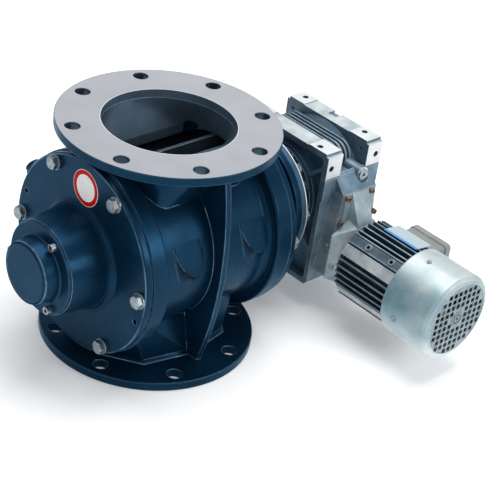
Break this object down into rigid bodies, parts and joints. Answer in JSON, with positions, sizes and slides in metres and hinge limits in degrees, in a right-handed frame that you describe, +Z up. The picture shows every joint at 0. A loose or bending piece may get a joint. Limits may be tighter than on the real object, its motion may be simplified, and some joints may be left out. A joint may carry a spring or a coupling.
{
  "type": "rotary airlock valve",
  "caption": "Flanged rotary airlock feeder valve: vaned rotor in a round housing, driven by a right-angle worm gearbox and fan-cooled electric motor.",
  "frame": {"origin": "centre of the outlet flange's bottom face", "axes": "+Z up, from outlet flange to inlet flange; X along the rotor axis with the gearbox at +X; the motor's axis points along -Y"},
  "size_m": [0.6714, 0.5296, 0.37],
  "materials": {
    "housing_paint": "semi-gloss navy enamel over cast iron",
    "cast_aluminium": "die-cast aluminium, machined pads",
    "motor_paint": "slate grey enamel on finned aluminium",
    "cowl_steel": "silver coated sheet steel",
    "zinc_steel": "zinc plated fasteners",
    "bearing_steel": "ground bearing steel",
    "shaft_steel": "turned steel",
    "rotor_steel": "welded steel plate, machined tips",
    "bronze": "gear bronze",
    "seal_rubber": "nitrile rubber and gasket",
    "core_steel": "laminated electrical steel",
    "copper": "enamelled copper windings",
    "fan_plastic": "moulded black plastic",
    "box_grey": "warm grey moulded box",
    "label_white": "blank white plate"
  },
  "bodies": {
    "root": {"housing": "housing_paint", "end_cover_nde": "housing_paint", "end_cover_de": "housing_paint", "cover_gaskets": "seal_rubber", "cover_bolts": "zinc_steel", "cover_washers": "zinc_steel", "bearing_cap": "housing_paint", "bearing_cap_screws": "zinc_steel", "rotor_bearing_outer_rings": "bearing_steel", "shaft_seals": "seal_rubber", "bore_circlip": "shaft_steel", "vent_plug": "zinc_steel", "round_label": "label_white", "gearbox_flange": "cast_aluminium", "gearbox_flange_bolts": "zinc_steel", "gearbox_flange_washers": "zinc_steel", "gear_case": "cast_aluminium", "case_cover_screws": "zinc_steel", "gear_cover": "cast_aluminium", "output_bearing_outer_rings": "bearing_steel", "output_seals": "seal_rubber", "worm_bearing_outer_rings": "bearing_steel", "worm_end_cap": "cast_aluminium", "oil_plugs": "zinc_steel", "input_cover": "cast_aluminium", "input_cover_screws": "zinc_steel", "input_seal": "seal_rubber", "motor_adapter": "cast_aluminium", "motor_frame": "motor_paint", "motor_front_shield": "motor_paint", "motor_rear_shield": "motor_paint", "stator": "core_steel", "stator_windings": "copper", "motor_bearing_outer_rings": "bearing_steel", "fan_cowl": "cowl_steel", "cowl_screws": "zinc_steel", "terminal_box": "box_grey", "terminal_box_lid": "box_grey", "cable_gland": "seal_rubber", "rating_plate": "label_white"},
    "rotor": {"rotor": "rotor_steel", "rotor_shaft": "shaft_steel", "shaft_keys": "shaft_steel", "shaft_circlips": "shaft_steel", "rotor_bearing_inner_rings": "bearing_steel", "worm_wheel": "bronze", "hollow_output_shaft": "shaft_steel", "output_bearing_inner_rings": "bearing_steel", "shaft_end_washer": "zinc_steel", "shaft_end_screw": "zinc_steel"},
    "rotor_balls": {"rotor_bearing_balls": "bearing_steel"},
    "output_balls": {"output_bearing_balls": "bearing_steel"},
    "input_shaft": {"worm_shaft": "shaft_steel", "worm_bearing_inner_rings": "bearing_steel", "motor_shaft": "shaft_steel", "motor_rotor_core": "core_steel", "motor_bearing_inner_rings": "bearing_steel", "cooling_fan": "fan_plastic"},
    "worm_balls": {"worm_bearing_balls": "bearing_steel"},
    "motor_balls": {"motor_bearing_balls": "bearing_steel"}
  },
  "joints": [
    {"name": "rotor_spin", "type": "hinge", "parent": "root", "child": "rotor", "pos_m": [0, 0, 0.185], "axis": [1, 0, 0], "continuous": true},
    {"name": "rotor_ball_orbit", "type": "hinge", "parent": "root", "child": "rotor_balls", "pos_m": [0, 0, 0.185], "axis": [1, 0, 0], "continuous": true},
    {"name": "output_ball_orbit", "type": "hinge", "parent": "root", "child": "output_balls", "pos_m": [0.319, 0, 0.185], "axis": [1, 0, 0], "continuous": true},
    {"name": "motor_spin", "type": "hinge", "parent": "root", "child": "input_shaft", "pos_m": [0.319, 0, 0.11], "axis": [0, 1, 0], "continuous": true},
    {"name": "worm_ball_orbit", "type": "hinge", "parent": "root", "child": "worm_balls", "pos_m": [0.319, 0, 0.11], "axis": [0, 1, 0], "continuous": true},
    {"name": "motor_ball_orbit", "type": "hinge", "parent": "root", "child": "motor_balls", "pos_m": [0.319, -0.2, 0.11], "axis": [0, 1, 0], "continuous": true}
  ],
  "couplings": [
    {"joint": "motor_spin", "follows": "rotor_spin", "ratio": -30},
    {"joint": "rotor_ball_orbit", "follows": "rotor_spin", "ratio": 0.386},
    {"joint": "output_ball_orbit", "follows": "rotor_spin", "ratio": 0.432},
    {"joint": "worm_ball_orbit", "follows": "rotor_spin", "ratio": -12.4},
    {"joint": "motor_ball_orbit", "follows": "rotor_spin", "ratio": -11.8}
  ]
}
